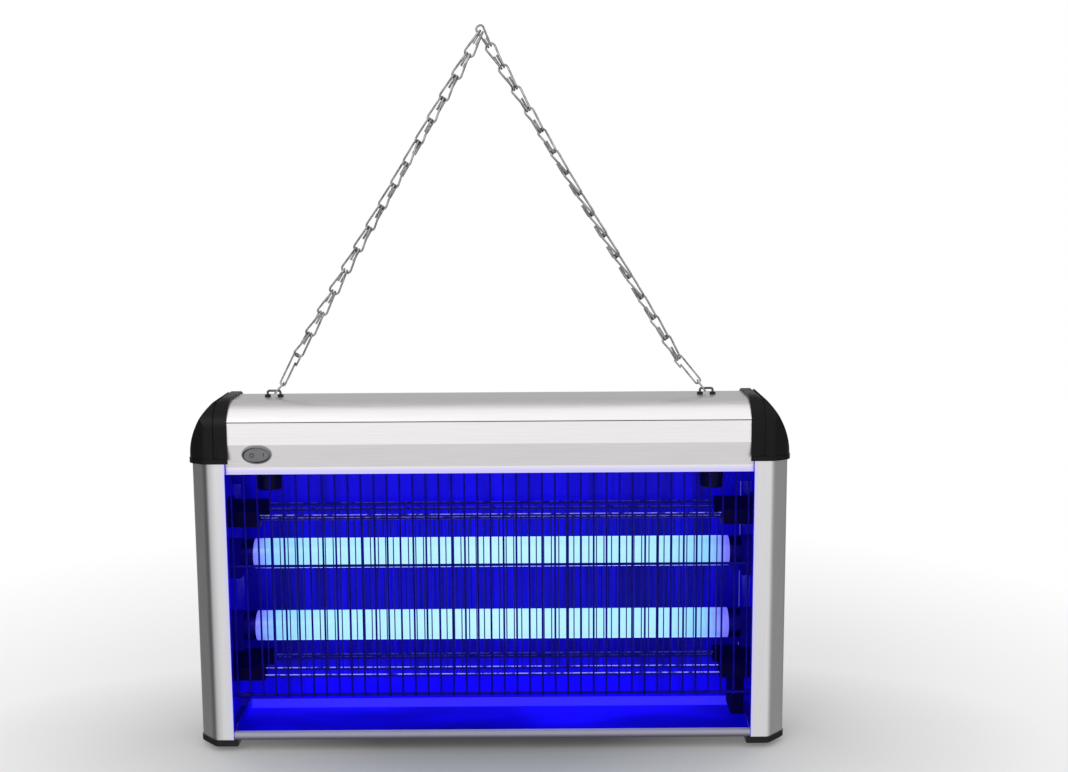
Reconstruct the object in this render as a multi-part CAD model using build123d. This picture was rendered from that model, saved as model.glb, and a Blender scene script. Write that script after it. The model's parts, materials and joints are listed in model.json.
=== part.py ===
from build123d import *
import os
from math import hypot, radians, sqrt, tan

# Hanging electric insect killer for two 15 W T8 tubes, in millimetres.
# It is drawn with Z = 0 under its feet, X to the right and its front facing -Y.
# save() then moves each piece so that the origin is the point it hangs from.

# ---- overall ----
HALF_DEPTH = 42.0           # front face of the posts and of the cover, from the middle plane
OPENING_HALF = 223.5        # half the width between the two posts
POST_WIDTH = 30.5           # width of one post, along X
POST_HALF = OPENING_HALF + POST_WIDTH
TOP_Z = 300.0               # flat top of the cover
CAP_BOTTOM_Z = 249.0        # lower edge of the end caps, and top of the posts
FOOT_H = 6.0
CLEAR = 0.2                 # gap left between neighbouring pieces that don't touch

# ---- housing sheet and extrusions ----
WALL = 1.6                  # cover and apron wall
SEAM_Z = 284.0              # joint between top cover and aprons
SEAM_GAP = 0.8              # visible groove at that joint
SHOULDER_Z = 284.9          # where the cover starts to curve in
SHOULDER_FULLNESS = 0.66    # of each shoulder's curve: 0.707 is a quarter of an oval, 0.5 a straight slope
FLAT_HALF = 15.0            # half width of the flat on top
BAND_Z = 265.0              # upper edge of the inclined band
LIP_Z = 245.0               # lower edge of the inclined band
APRON_Z = 239.0             # lower edge of the apron
LIP_Y = 37.0                # the lower lip stands back to here
COVER_HALF = 222.0          # half length of cover, up to the end caps' inside
CHASSIS_Z = 246.0           # underside of the chassis plate
CHASSIS_T = 1.5
PLATE_X = 234.0             # inner face of the end plates
PLATE_T = 1.5
PLATE_TOP_Z = 282.0
LEDGE_T = 1.4               # ledge inside each apron that carries the chassis plate
LEDGE_DEPTH = 6.0
REFLECTOR_Y = (34.3, 35.3)  # front and back of the sheet that closes the rear
REFLECTOR_Z = (18.0, 244.4)
TAB_HEIGHTS = (28.0, 222.0)

# ---- end caps and posts ----
CAP_T = 2.2
CAP_INNER_X = 220.0         # inner edge of the caps' front band
CAP_OUTER_X = 254.7
CAP_TOP_Z = 302.5
CAP_FRONT = 43.2            # cap stands this far proud of the middle plane
CAP_BOW = (176.5, 246.0)    # (X, Z) of the middle of the arc that a cap's end follows, seen from the front
CAP_CROWN = 12.0            # radius that rounds this arc into the top
CAP_SOFT = 22.0             # radius that rounds the foot of a cap's shoulder
CAP_CORNER = 9.0            # depth of the slanted corner of a cap, and the radius that rounds it
CAP_ROUND = 12.0
CAP_LIP_H = 4.0             # the lip at a cap's lower edge, and how far it stands out
CAP_LIP_OUT = 0.5
CAP_GROOVE = (227.9, 232.0)     # X limits of the upright crease beside the front band
CAP_GROOVE_DEPTH = 1.2
CAP_LINE_Z = 270.0          # fine level line across the front band
CAP_LINE_DEPTH = 0.4
CAP_SCREW_Z = 256.5
POST_T = 2.0
POST_FLAT = 15.5            # width of the post's front flat
POST_CHAMFER = 16.0         # depth of the slanted corner beside it

# ---- lamps ----
TUBE_Z = (161.0, 95.5)      # axes of the upper and lower tube
TUBE_R = 13.0
TUBE_LIT_HALF = 207.5       # half the glass length
TUBE_FACE_X = 218.5         # end face of a tube's metal cap
PIN_OFFSET = 6.35           # bi-pin base, 12.7 mm between the pins
PIN_R = 1.17
PIN_END_X = 225.5
HOLDER_X = 218.8            # face of a lamp holder
ROTOR_R = 8.0

# ---- starters and electrics ----
STARTER_X = 193.0
STARTER_R = 10.75
STARTER_LOW_Z = 219.0
STARTER_TOP_Z = 257.0
COIL_HALF = 21.5            # half length of the transformer's coil
COIL_DEPTH = 24.0
COIL_BASE = 5.5             # height of coil and core windows above the chassis
COIL_HEIGHT = 25.0
CORD_X = 120.0              # mains inlet, in the rear apron
CORD_Z = 275.0
CORD_BORE_R = 3.6

# ---- grids and guard ----
GRID_Y = 21.0               # middle plane of the front and of the rear grid
GRID_WIRE_R = 0.5
GRID_RAIL_R = 1.25
GRID_PITCH = 13.0           # between two wires of one comb
GRID_COUNT = 31             # wires in the live comb; the return comb has one fewer
GRID_RAIL_HALF = 206.0
GRID_RAIL_OUT = 2.9         # rails of the two combs stand this far either side of a grid's plane
GRID_WIRE_OUT = 1.0         # and their wires this far
LIVE_RAILS_Z = (199.6, 57.2)
RETURN_RAILS_Z = (196.0, 61.6)
ARM_X = 198.0               # inner end of the insulator arms
ARM_HALF = 6.2              # half depth of an arm
UPPER_ARMS_Z = (191.0, 204.0)
LOWER_ARMS_Z = (54.2, 65.4)
BRACKET_X = (210.0, 221.0)  # shield below the right lower arms
BRACKET_Z = 16.6
GUARD_PITCH = 11.0
GUARD_COUNT = 41
GUARD_Y = -34.2
GUARD_WIRE_R = 0.85
GUARD_RAIL_R = 1.2
GUARD_WIRES_Z = (41.9, 244.4)
GUARD_RAILS_Z = (43.4, 158.0, 242.8)

# ---- tray ----
TRAY_HALF = 223.0
TRAY_T = 1.2
TRAY_Z = FOOT_H + CLEAR
TRAY_STRIP_Z = 12.4
TRAY_WALL_Z = 15.4
TRAY_FRONT_Y = -38.0        # front of the tray itself, behind its thick front strip
TRAY_BACK_Y = 33.0

# ---- switch, on the inclined band of the front apron ----
SWITCH_X = -196.0
SWITCH_Z = 256.6
BEZEL = (12.65, 8.4)        # half axes of the oval bezel
BEZEL_HOLE = (11.2, 6.7)
BEZEL_T = 1.8
SKIRT = (11.7, 7.3)         # the switch's body, where it passes through the apron
SKIRT_Z = -3.0              # where bezel and body meet, below the band's face
ROCKER = (10.6, 6.25)
ROCKER_TILT = 7.0           # the rocker stands this many degrees either side of level
PIVOT_Z = -0.5              # the rocker's pins, below the band's face
PIVOT_R = 0.9

# ---- hanging gear ----
BAR_Z = 305.2               # axis of the staple bars, about which chain and housing turn
STAPLE_INNER_X = 181.5
STAPLE_OUTER_X = 192.5
STAPLE_R = 1.0
RING_ON_BAR_X = 184.2
HOOK_R = 0.8
HOOK_LEFT = ((-179.9, 310.2), (-166.5, 335.0))     # (X, Z) of each hook's two ends
HOOK_RIGHT = ((180.6, 310.2), (161.4, 332.4))
CHAIN_R = 0.9
CHAIN_LINKS = 15            # in each run
CHAIN_BOW = 4.1             # half width of a link's bow, between wire centres
CHAIN_FOLD_R = 2.7          # half depth of a link's fold
CHAIN_FOLD_SHIFT = 0.3      # the fold stands this far towards the legs
CHAIN_REACH = 2.4           # the fold's wire stands this far past the neighbour's bow
CHAIN_NECK = 1.25           # half width of a link where it folds over its neighbour
CHAIN_TAIL = 9.5            # from a bow back to the cut ends of the link that holds it
CHAIN_Y = 0.7               # both runs stand this far behind the middle plane
APEX_LEFT = (-5.5, 605.2)   # (X, Z) where the left run meets the apex link
APEX_RIGHT = (1.4, 597.0)
APEX_START = (-6.72, 611.72)
APEX_BOW = 3.0              # the apex link is narrower than the others
APEX_TAIL = 5.0
HANG_X = -5.0               # the hanging point, under the apex link's wire
HANG_Z = 611.4

SIDES = (("left", -1), ("right", 1))


def save(name, shape):
    """Write one node, moved so that the origin is the hanging point."""
    export_step(Pos(-HANG_X, 0, -HANG_Z) * shape, f"parts/{name}.step")


def block(x, y, z):
    """A box from its two limits along each axis."""
    low = (min(x), min(y), min(z))
    return Pos(*low) * Box(abs(x[1] - x[0]), abs(y[1] - y[0]), abs(z[1] - z[0]), align=(Align.MIN,) * 3)


def rod(start, end, radius):
    """A round bar between two points."""
    along = Vector(*end) - Vector(*start)
    place = Plane(origin=start, z_dir=along)
    return place * Cylinder(radius, along.length, align=(Align.CENTER, Align.CENTER, Align.MIN))


def group(solids):
    """Separate solids kept together in one node."""
    return Compound(children=list(solids))


def wire_form(points, radii, radius):
    """Round wire bent along a path of straight runs and arcs."""
    path = FilletPolyline(*points, radius=radii)
    start = path.position_at(0)
    section = Plane(origin=start, z_dir=path.tangent_at(0)) * Circle(radius)
    return sweep(section, path=path)


def along_x(points, x0, x1):
    """A closed (Y, Z) outline drawn out from x0 to x1."""
    face = Plane.YZ.offset(x0) * make_face(Polyline(*points, close=True))
    return extrude(face, amount=x1 - x0)


# ---- cover ----

def shoulder(half, top, sign):
    """The curve of the cover on one side, from its foot to the flat."""
    k = SHOULDER_FULLNESS
    middle = (sign * (FLAT_HALF + (half - FLAT_HALF) * k), SHOULDER_Z + (top - SHOULDER_Z) * k)
    return ThreePointArc((sign * half, SHOULDER_Z), middle, (sign * FLAT_HALF, top))


def hood(half, top, bottom, x0, x1, soft=0.0):
    """A solid with the cover's outline, as deep as half and as high as top; soft rounds its shoulders' feet."""
    left = shoulder(half, top, -1)
    right = shoulder(half, top, 1)
    edges = [left, right, Line((-FLAT_HALF, top), (FLAT_HALF, top)),
             Line((half, SHOULDER_Z), (half, bottom)), Line((half, bottom), (-half, bottom)),
             Line((-half, bottom), (-half, SHOULDER_Z))]
    outline = make_face(edges)
    if soft:
        outline = fillet([v for v in outline.vertices() if abs(v.Y - SHOULDER_Z) < 0.01], soft)
    return extrude(Plane.YZ.offset(x0) * outline, amount=x1 - x0)


def top_cover():
    bottom = SEAM_Z + SEAM_GAP / 2
    outer = hood(HALF_DEPTH, TOP_Z, bottom, -COVER_HALF, COVER_HALF)
    inner = hood(HALF_DEPTH - WALL, TOP_Z - WALL, bottom - 1, -COVER_HALF - 1, COVER_HALF + 1)
    body = outer - inner
    for _, side in SIDES:
        for x in (STAPLE_INNER_X, STAPLE_OUTER_X):
            body -= Pos(side * x, 0, TOP_Z) * Cylinder(2.0, 10)
    return body


def apron(side):
    """Front (side -1) or rear (side 1) apron, with its ledge for the chassis plate."""
    top = SEAM_Z - SEAM_GAP / 2
    in_y = HALF_DEPTH - WALL
    lip_in = LIP_Y - WALL
    tongue = in_y - 1.4
    ledge = lip_in - LEDGE_DEPTH
    outline = [(HALF_DEPTH, top), (HALF_DEPTH, BAND_Z), (LIP_Y, LIP_Z), (LIP_Y, APRON_Z), (lip_in, APRON_Z),
               (lip_in, CHASSIS_Z - LEDGE_T), (ledge, CHASSIS_Z - LEDGE_T), (ledge, CHASSIS_Z),
               (lip_in + 0.3, CHASSIS_Z), (in_y - CLEAR, BAND_Z), (tongue, BAND_Z + 4),
               (tongue, SHOULDER_Z - 0.5), (in_y, SHOULDER_Z - 0.5), (in_y, top)]
    half = OPENING_HALF - 0.3
    return along_x([(side * y, z) for y, z in outline], -half, half)


def band_plane(x, z):
    """Plane on the front band: local X along the housing, local Z outward."""
    slope = (HALF_DEPTH - LIP_Y) / (BAND_Z - LIP_Z)
    y = -LIP_Y - slope * (z - LIP_Z)
    length = hypot(1, slope)
    return Plane(origin=(x, y, z), x_dir=(1, 0, 0), z_dir=(0, -1 / length, -slope / length))


def oval(half_axes, low, high):
    """An upright oval block on the switch's plane."""
    face = Plane.XY.offset(low) * Ellipse(*half_axes)
    return extrude(face, amount=high - low)


def front_apron():
    hole = (SKIRT[0] + CLEAR, SKIRT[1] + 0.3)
    cut = band_plane(SWITCH_X, SWITCH_Z) * oval(hole, -12, 6)
    return apron(-1) - cut


def rear_apron():
    return apron(1) - Pos(CORD_X, HALF_DEPTH, CORD_Z) * Rot(90, 0, 0) * Cylinder(6.2, 12)


def chassis_plate():
    """Steel plate that carries the electrics; a tongue at each end reaches the end plate."""
    level = (CHASSIS_Z, CHASSIS_Z + CHASSIS_T)
    body = block((-COVER_HALF, COVER_HALF), (-34.9, 34.9), level)
    body += block((-PLATE_X, PLATE_X), (-33, 33), level)
    for _, side in SIDES:
        body -= Pos(side * STARTER_X, 0, CHASSIS_Z) * Cylinder(STARTER_R + 1, 10)
    return body


# ---- ends ----

def end_outline(side, inner, outer, front, corner):
    """Plan outline of an end piece: front flat, slanted corner, side flat, and the same behind."""
    flat = OPENING_HALF + POST_FLAT + (outer - POST_HALF)
    deep = front - corner
    points = [(inner, -front), (flat, -front), (outer, -deep), (outer, deep), (flat, front), (inner, front)]
    points = [(side * x, y) for x, y in points]
    return make_face(Polyline(*points, close=True))


def rounded_end(side, inner, outer, front, corner, z0, z1, radius):
    """An upright end piece with its four slanted corners rounded."""
    body = extrude(Plane.XY.offset(z0) * end_outline(side, inner, outer, front, corner), amount=z1 - z0)
    upright = body.edges().filter_by(Axis.Z)
    outer_edges = [e for e in upright if abs(e.center().X) > inner + 5]
    return fillet(outer_edges, radius)


def post(side):
    outer = rounded_end(side, OPENING_HALF, POST_HALF, HALF_DEPTH, POST_CHAMFER, FOOT_H, CAP_BOTTOM_Z, 7)
    inner = rounded_end(side, OPENING_HALF + POST_T, POST_HALF - POST_T, HALF_DEPTH - POST_T,
                        POST_CHAMFER - 0.8, FOOT_H - 1, CAP_BOTTOM_Z + 1, 5.5)
    inner_wall = (side * (OPENING_HALF - 1), side * (OPENING_HALF + 3))
    return outer - inner - block(inner_wall, (-34, 34), (FOOT_H - 1, CAP_BOTTOM_Z + 1))


def foot(side):
    inner = CAP_INNER_X - 0.5
    body = rounded_end(side, inner, POST_HALF + 0.5, HALF_DEPTH + 0.5, POST_CHAMFER, 0, FOOT_H, 7)
    bottom = body.faces().sort_by(Axis.Z)[0]
    body = chamfer(bottom.edges(), 1.2)
    plug = block((side * 238, side * 250), (-20, 20), (FOOT_H, FOOT_H + 10))
    return body + plug


def cap_block(side, grow):
    """End cap's outer form (grow 0) or its hollow (grow negative)."""
    past = 1 if grow < 0 else 0
    outer_x = CAP_OUTER_X + grow
    front = CAP_FRONT + grow
    top = CAP_TOP_Z + grow
    low = CAP_BOTTOM_Z - past
    start = CAP_INNER_X - past
    depthwise = hood(front, top, low, side * start, side * (outer_x + 1), CAP_SOFT)
    # seen from the front, the end leans in along one long arc and is rounded into the top
    bow_x, bow_z = CAP_BOW
    reach = hypot(outer_x - bow_x, CAP_BOTTOM_Z + CAP_LIP_H - bow_z)
    crown = (side * (bow_x + sqrt(reach ** 2 - (top - bow_z) ** 2)), top)
    waist = (side * outer_x, CAP_BOTTOM_Z + CAP_LIP_H)
    halfway = (crown[1] + waist[1]) / 2
    through = (side * (bow_x + sqrt(reach ** 2 - (halfway - bow_z) ** 2)), halfway)
    straight = Polyline(crown, (side * start, top), (side * start, low), (side * outer_x, low), waist)
    outline = make_face([straight, ThreePointArc(waist, through, crown)])
    corner = outline.vertices().sort_by_distance((*crown, 0))[0]
    front_view = extrude(Plane.XZ.offset(-60) * fillet(corner, CAP_CROWN), amount=120)
    plan = rounded_end(side, start, outer_x, front, CAP_CORNER, low - 1, top + 1, CAP_ROUND + grow)
    return depthwise & front_view & plan


def end_cap(side):
    """Moulded end cap: front band, crease and rounded shoulder, open towards the cover."""
    above_lip = CAP_BOTTOM_Z + CAP_LIP_H
    crease = block((side * CAP_GROOVE[0], side * CAP_GROOVE[1]), (-60, 60), (above_lip, CAP_TOP_Z + 1))
    band = (side * (CAP_INNER_X - 1), side * CAP_GROOVE[0])
    line = block(band, (-60, 0), (CAP_LINE_Z - 0.3, CAP_LINE_Z + 0.3))
    outer = cap_block(side, 0) - (crease - cap_block(side, -CAP_GROOVE_DEPTH))
    outer -= line - cap_block(side, -CAP_LINE_DEPTH)
    lip_size = (CAP_OUTER_X + CAP_LIP_OUT, CAP_FRONT + CAP_LIP_OUT)
    lip = rounded_end(side, CAP_INNER_X, *lip_size, CAP_CORNER, CAP_BOTTOM_Z, above_lip, CAP_ROUND)
    sleeve_ends = (side * (CAP_INNER_X - 2), side * (COVER_HALF + 1.5))
    sleeve = hood(HALF_DEPTH + CLEAR, TOP_Z + CLEAR, CAP_BOTTOM_Z - 2, *sleeve_ends)
    return outer + lip - cap_block(side, -CAP_T) - sleeve


def end_plate(side):
    """Sheet bulkhead inside each end, from the foot up into the cap."""
    thickness = (side * PLATE_X, side * (PLATE_X + PLATE_T))
    wide = HALF_DEPTH - POST_T - 0.1
    upper = block(thickness, (-38, 38), (FOOT_H, PLATE_TOP_Z))
    return upper + block(thickness, (-wide, wide), (FOOT_H, CAP_BOTTOM_Z))


# ---- lamps ----

def spin(side, x0, x1, z, radius):
    """A disc or cylinder along X on a tube's axis."""
    return rod((side * x0, 0, z), (side * x1, 0, z), radius)


def tube_glass(z):
    outside = spin(1, -TUBE_LIT_HALF, TUBE_LIT_HALF, z, TUBE_R)
    return outside - spin(1, -TUBE_LIT_HALF - 1, TUBE_LIT_HALF + 1, z, TUBE_R - 0.8)


def tube_cap(side, z):
    """Metal end cap with its two pins, which lie across the holder's slot."""
    body = spin(side, TUBE_LIT_HALF, TUBE_FACE_X, z, TUBE_R - 0.2)
    body -= spin(side, TUBE_LIT_HALF - 1, TUBE_LIT_HALF + 6, z, TUBE_R - 1.2)
    for y in (-PIN_OFFSET, PIN_OFFSET):
        body += rod((side * (TUBE_FACE_X - 1), y, z), (side * PIN_END_X, y, z), PIN_R)
    return body


def holder_rotor(side, z):
    body = spin(side, HOLDER_X + 0.4, PIN_END_X + 0.6, z, ROTOR_R)
    for y in (-PIN_OFFSET, PIN_OFFSET):
        body -= rod((side * (HOLDER_X - 1), y, z), (side * (PIN_END_X + 0.3), y, z), PIN_R + 0.08)
    slot_ends = (side * (HOLDER_X - 1), side * (HOLDER_X + 2.4))
    return body - block(slot_ends, (-1.2, 1.2), (z - ROTOR_R, z + ROTOR_R))


def lamp_holder(side, z):
    """Tombstone lamp holder on the end plate, with a bore for its rotor and a slot down from it."""
    body = block((side * HOLDER_X, side * PLATE_X), (-10, 10), (z - 20, z + 4))
    body += spin(side, HOLDER_X, PLATE_X, z + 4, 10)
    body += block((side * (PLATE_X - 3), side * PLATE_X), (-13, 13), (z - 24, z - 6))
    body -= spin(side, HOLDER_X - 1, PIN_END_X + 1, z, ROTOR_R + 0.3)
    return body - block((side * (HOLDER_X - 1), side * (PIN_END_X + 1)), (-1.6, 1.6), (z - 30, z))


# ---- starters and electrics ----

def starter(side):
    length = STARTER_TOP_Z - STARTER_LOW_Z
    can = Pos(side * STARTER_X, 0, STARTER_LOW_Z + length / 2) * Cylinder(STARTER_R, length)
    can = fillet(can.edges().sort_by(Axis.Z)[0], 1.5)
    for x in (-6.35, 6.35):
        stud = Pos(side * STARTER_X + x, 0, STARTER_TOP_Z + 1.5) * Cylinder(1.3, 3)
        head = Pos(side * STARTER_X + x, 0, STARTER_TOP_Z + 3.5) * Cylinder(2.2, 1.4)
        can += stud + head
    return can


def starter_socket(side):
    bottom = CHASSIS_Z + CHASSIS_T
    place = Pos(side * STARTER_X, 0, 0)
    body = place * Pos(0, 0, bottom + 8.5) * Cylinder(15, 17)
    body -= place * Pos(0, 0, bottom + 3) * Cylinder(STARTER_R + 0.35, 14)
    ring = Cylinder(9.2, 6) - Cylinder(3.6, 6)
    return body - place * Pos(0, 0, STARTER_TOP_Z + 2.6) * ring


def boxed(x, half, height):
    """A block standing on the chassis plate."""
    base = CHASSIS_Z + CHASSIS_T
    return block((x[0], x[1]), (-half, half), (base, base + height))


def ballast(x0):
    """Choke: laminated stack in a folded steel strap with two screw feet."""
    core = boxed((x0 + 10, x0 + 85), 18, 28)
    strap = boxed((x0 + 20, x0 + 75), 19.5, 30)
    feet = boxed((x0, x0 + 95), 12, 1.6)
    return core + strap + feet


def transformer_core():
    core = boxed((-32, 32), 16, 36)
    window = boxed((-22, -9), 17, 26) + boxed((9, 22), 17, 26)
    return core - Pos(0, 0, 5) * window + boxed((-40, 40), 10, 1.6)


def transformer_coil():
    """Winding around the core's middle limb, which passes through it front to back."""
    limb = block((-9.3, 9.3), (-16.3, 16.3), (CHASSIS_Z, CHASSIS_Z + 50))
    return Pos(0, 0, COIL_BASE) * boxed((-COIL_HALF, COIL_HALF), COIL_DEPTH, COIL_HEIGHT) - limb


def terminal_block():
    body = boxed((46, 66), 9, 14)
    for y in (-5, 0, 5):
        for x in (51, 61):
            body -= Pos(x, y, CHASSIS_Z + CHASSIS_T + 14) * Cylinder(1.6, 8)
    return body


def cord_inlet_grommet():
    """Rubber inlet in the rear apron, with a through bore for the mains cord."""
    flange = Pos(0, 0, 1.5) * Cylinder(8.5, 3)
    neck = Pos(0, 0, -3) * Cylinder(6.0, 7)
    barb = Pos(0, 0, -4.6) * Cylinder(8.0, 2.4)
    body = flange + neck + barb - Cylinder(CORD_BORE_R, 30)
    return Pos(CORD_X, HALF_DEPTH, CORD_Z) * Rot(-90, 0, 0) * body


# ---- switch ----

def pin(half, radius):
    """A round bar on the rocker's axis, across the switch's plane."""
    return rod((0, -half, PIVOT_Z), (0, half, PIVOT_Z), radius)


def switch_bezel():
    """Oval rim on the band, with a skirt behind it that carries the rocker's pins."""
    ring = oval(BEZEL, 0.05, BEZEL_T) - oval(BEZEL_HOLE, -1, 3)
    edge = ring.faces().sort_by(Axis.Z)[-1].outer_wire().edges()
    ring = fillet(edge, 0.8)
    ring -= pin(SKIRT[1], PIVOT_R + 0.06)
    skirt = oval(SKIRT, SKIRT_Z, 0.6) - oval(BEZEL_HOLE, -4, 3)
    skirt -= pin(9, PIVOT_R + 0.06)
    return band_plane(SWITCH_X, SWITCH_Z) * (ring + skirt)


def switch_rocker():
    """Rocker with two wings that meet in a shallow valley; it rests with its right wing level."""
    body = oval(ROCKER, -4.0, 4.5)
    valley = 0.7
    reach = 14.0
    wing = valley + reach * tan(radians(ROCKER_TILT))
    sky = Polyline((0, valley), (reach, wing), (reach, 12), (-reach, 12), (-reach, wing), close=True)
    body -= extrude(Plane.XZ.offset(-10) * make_face(sky), amount=20)
    body += pin(SKIRT[1] - 0.1, PIVOT_R)
    tilted = Pos(0, 0, PIVOT_Z) * Rot(0, ROCKER_TILT, 0) * Pos(0, 0, -PIVOT_Z) * body
    return band_plane(SWITCH_X, SWITCH_Z) * tilted


def switch_body():
    """Cup behind the bezel, with its two solder lugs."""
    cup = oval(SKIRT, -16, SKIRT_Z) - oval((SKIRT[0] - 0.6, SKIRT[1] - 0.7), -13, 0)
    for x in (-5, 5):
        cup += Pos(x, 0, -19) * Box(0.8, 4.8, 6)
    return band_plane(SWITCH_X, SWITCH_Z) * cup


# ---- grids ----

def spaced(count, pitch):
    """X of evenly spaced wires about the middle."""
    return [(i - (count - 1) / 2) * pitch for i in range(count)]


def insulator(side, heights, bracket):
    """Plastic block on the end plate with a front and a rear arm that carry the grid rails."""
    z0, z1 = heights
    body = block((side * (PLATE_X - 3), side * PLATE_X), (-28, 28), (z0 - 3, z1 + 3))
    for y in (-GRID_Y, GRID_Y):
        body += block((side * ARM_X, side * PLATE_X), (y - ARM_HALF, y + ARM_HALF), heights)
    if bracket:
        web = (side * BRACKET_X[0], side * BRACKET_X[1])
        body += block(web, (-GRID_Y + 3, GRID_Y - 3), heights)
        body += block(web, (-16, 16), (BRACKET_Z, z0 + 1))
    for y, z in grid_rails():
        body -= rod((side * (ARM_X - 1), y, z), (side * (GRID_RAIL_HALF + 0.5), y, z), GRID_RAIL_R + 0.1)
    return body


def comb_rails(y, live):
    """(Y, Z) of the two rails of one comb; the live comb stands outside the return comb."""
    outward = 1 if y > 0 else -1
    rail_y = y + outward * (GRID_RAIL_OUT if live else -GRID_RAIL_OUT)
    return [(rail_y, z) for z in (LIVE_RAILS_Z if live else RETURN_RAILS_Z)]


def grid_rails():
    """(Y, Z) of all the rails of both grids."""
    return [rail for y in (-GRID_Y, GRID_Y) for live in (True, False) for rail in comb_rails(y, live)]


def grid_comb(y, live):
    """One comb of a grid: thin upright wires welded to an upper and a lower rail."""
    outward = 1 if y > 0 else -1
    wire_y = y + outward * (GRID_WIRE_OUT if live else -GRID_WIRE_OUT)
    rails = comb_rails(y, live)
    top, low = rails[0][1], rails[1][1]
    body = [rod((-GRID_RAIL_HALF, ry, rz), (GRID_RAIL_HALF, ry, rz), GRID_RAIL_R) for ry, rz in rails]
    for x in spaced(GRID_COUNT if live else GRID_COUNT - 1, GRID_PITCH):
        body.append(rod((x, wire_y, low), (x, wire_y, top), GRID_WIRE_R))
    return body[0].fuse(*body[1:])


def front_guard():
    """Welded wire guard: many upright wires on three cross wires."""
    low, top = GUARD_WIRES_Z
    cross_y = GUARD_Y + GUARD_WIRE_R + GUARD_RAIL_R - 0.5
    body = [rod((-PLATE_X, cross_y, z), (PLATE_X, cross_y, z), GUARD_RAIL_R) for z in GUARD_RAILS_Z]
    for x in spaced(GUARD_COUNT, GUARD_PITCH):
        body.append(rod((x, GUARD_Y, low), (x, GUARD_Y, top), GUARD_WIRE_R))
    return body[0].fuse(*body[1:])


def rear_reflector():
    """Bright sheet closing the back, with a lip folded forward below and a tab to each end plate."""
    half = OPENING_HALF - 0.5
    front, back = REFLECTOR_Y
    low = REFLECTOR_Z[0]
    body = block((-half, half), REFLECTOR_Y, REFLECTOR_Z)
    body += block((-half, half), (front - 4.3, back), (low - 1, low))
    for _, side in SIDES:
        for z in TAB_HEIGHTS:
            height = (z - 6, z + 6)
            body += block((side * 214, side * 222), (front - 1.7, front + 0.1), height)
            body += block((side * 214, side * PLATE_X), (front - 1.7, front - 0.5), height)
    return body


# ---- tray ----

def collection_tray():
    """Shallow tray with a front strip, which draws out between the feet."""
    width = (-TRAY_HALF, TRAY_HALF)
    inside = (-TRAY_HALF + TRAY_T, TRAY_HALF - TRAY_T)
    front, back = TRAY_FRONT_Y, TRAY_BACK_Y
    above = TRAY_WALL_Z + 1
    tray = block(width, (front, back), (TRAY_Z, TRAY_WALL_Z))
    tray -= block(inside, (front + TRAY_T, back - TRAY_T), (TRAY_Z + TRAY_T, above))
    tray -= block((-TRAY_HALF - 1, TRAY_HALF + 1), (front - 1, front + 8), (TRAY_STRIP_Z, above))
    return tray + block(width, (-HALF_DEPTH + 0.4, front), (TRAY_Z, TRAY_STRIP_Z))


# ---- hanging gear ----

def hanging_staple(side):
    """Bent wire on the top, with both legs through the cover and under a nut."""
    low = TOP_Z - 9
    inner, outer = side * STAPLE_INNER_X, side * STAPLE_OUTER_X
    points = [(inner, 0, low), (inner, 0, BAR_Z), (outer, 0, BAR_Z), (outer, 0, low)]
    return wire_form(points, [1.6, 1.6], STAPLE_R)


def staple_feet(radius, z0, z1):
    """Four identical discs, one on each staple leg."""
    discs = []
    for _, side in SIDES:
        for x in (STAPLE_INNER_X, STAPLE_OUTER_X):
            disc = Pos(side * x, 0, (z0 + z1) / 2) * Cylinder(radius, z1 - z0)
            discs.append(disc - Pos(side * x, 0, z0) * Cylinder(STAPLE_R + 0.1, 30))
    return group(discs)


def in_plane(start, end, roll):
    """Frame with its Z along start to end (X, Z pairs) and its X across, turned by roll about Z."""
    dx, dz = end[0] - start[0], end[1] - start[1]
    length = hypot(dx, dz)
    across = Vector(dz / length, 0, -dx / length)
    frame = Plane(origin=(start[0], 0, start[1]), x_dir=across, z_dir=(dx, 0, dz))
    return frame.location * Rot(0, 0, roll), length


def snap_hook(ends, roll, flip, past):
    """One-piece wire snap hook: a long loop with a hooked nose, past its second end, and a springy gate."""
    place, length = in_plane(ends[0], ends[1], roll)
    top = length + past
    points = [(3.9, top - 9.4), (3.7, top), (-3.7, top), (-2.7, 0), (2.7, 0), (1.9, top - 7.2)]
    return place * wire_form([(flip * x, 0, z) for x, z in points], [2.6, 2.6, 2.0, 2.0], HOOK_R)


def chain_link(start, end, roll, bow=CHAIN_BOW, tail=CHAIN_TAIL):
    """Folded-wire link: a wide bow at its start, and two necks that fold over the next link's bow."""
    place, length = in_plane(start, end, roll)
    fold = length + CHAIN_REACH
    tail_y = CHAIN_FOLD_R - CHAIN_FOLD_SHIFT
    leg_y = -CHAIN_FOLD_R - CHAIN_FOLD_SHIFT
    half = [(CHAIN_NECK, tail_y, length - tail), (CHAIN_NECK, tail_y, fold),
            (CHAIN_NECK, leg_y, fold), (bow + 0.5, 0, 0)]
    points = half + [(-x, y, z) for x, y, z in reversed(half)]
    fold_radius = CHAIN_FOLD_R - 0.25
    bow_radius = bow - 0.4
    radii = [fold_radius] * 2 + [bow_radius] * 2 + [fold_radius] * 2
    return place * wire_form(points, radii, CHAIN_R)


def chain_run(low, high, rolls, upward):
    """A straight run of links between two points (X, Z); upward links have their bow at the low end."""
    count = len(rolls)
    joints = [(low[0] + (high[0] - low[0]) * i / count, low[1] + (high[1] - low[1]) * i / count)
              for i in range(count + 1)]
    links = []
    for i, roll in enumerate(rolls):
        start, end = (joints[i], joints[i + 1]) if upward else (joints[i + 1], joints[i])
        links.append(chain_link(start, end, roll))
    return Pos(0, CHAIN_Y, 0) * group(links)


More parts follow.
